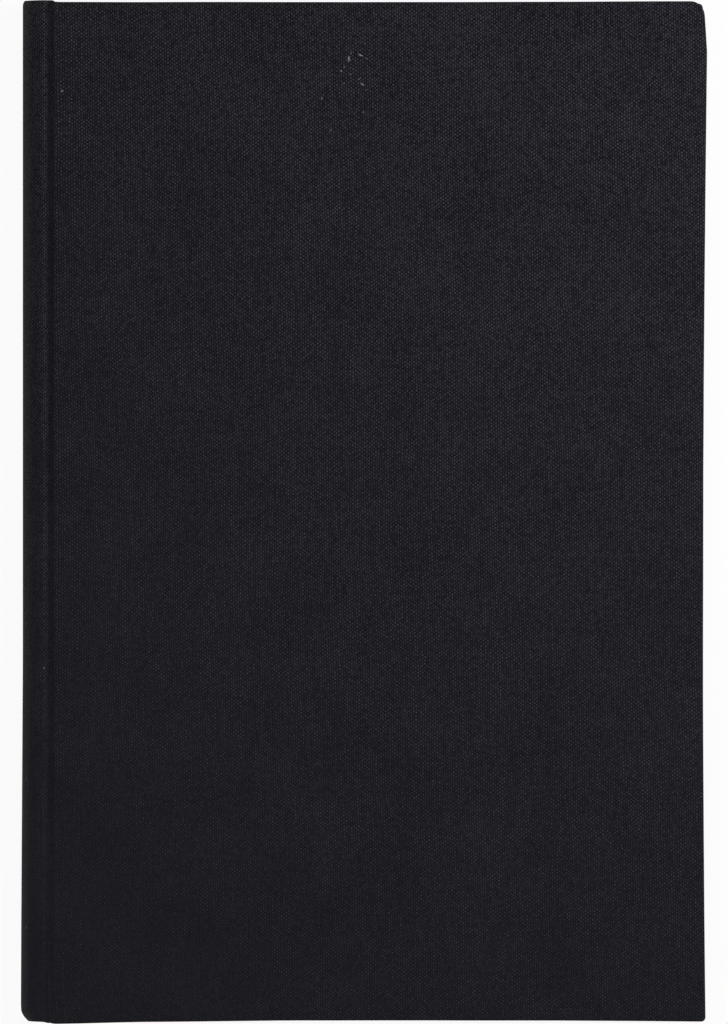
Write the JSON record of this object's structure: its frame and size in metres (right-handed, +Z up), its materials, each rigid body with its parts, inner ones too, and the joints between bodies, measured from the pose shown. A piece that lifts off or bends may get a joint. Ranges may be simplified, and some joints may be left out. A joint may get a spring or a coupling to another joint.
{
  "type": "ledger book",
  "caption": "Tall cloth-bound hardcover ledger with a rounded hollow spine, French grooves and covers that swing open on their cloth joints.",
  "frame": {"origin": "middle of the book's base, on the outer face of the back cover", "axes": "+X from the spine to the fore edge, +Y from tail to head, +Z up through the closed book to the front cover"},
  "size_m": [0.204, 0.305, 0.0254],
  "materials": {
    "book_cloth": "matte",
    "board": "matte",
    "card": "matte",
    "page_edges": "matte",
    "endpaper": "matte",
    "gauze": "matte",
    "kraft_paper": "matte",
    "band": "matte"
  },
  "bodies": {
    "book_block": {"text_block": "page_edges", "spine_mull": "gauze", "spine_liner": "kraft_paper", "spine_strip": "card", "spine_cloth": "book_cloth", "head_band": "band", "tail_band": "band", "front_flyleaf": "endpaper", "back_flyleaf": "endpaper"},
    "front_cover": {"front_board": "board", "front_cloth": "book_cloth", "front_mull_flange": "gauze", "front_pastedown": "endpaper"},
    "back_cover": {"back_board": "board", "back_cloth": "book_cloth", "back_mull_flange": "gauze", "back_pastedown": "endpaper"}
  },
  "joints": [
    {"name": "front_cover_hinge", "type": "hinge", "parent": "book_block", "child": "front_cover", "pos_m": [-0.096, 0, 0.0228], "axis": [0, -1, 0], "range_deg": [0, 178]},
    {"name": "back_cover_hinge", "type": "hinge", "parent": "book_block", "child": "back_cover", "pos_m": [-0.096, 0, 0.0026], "axis": [0, 1, 0], "range_deg": [0, 178]}
  ]
}
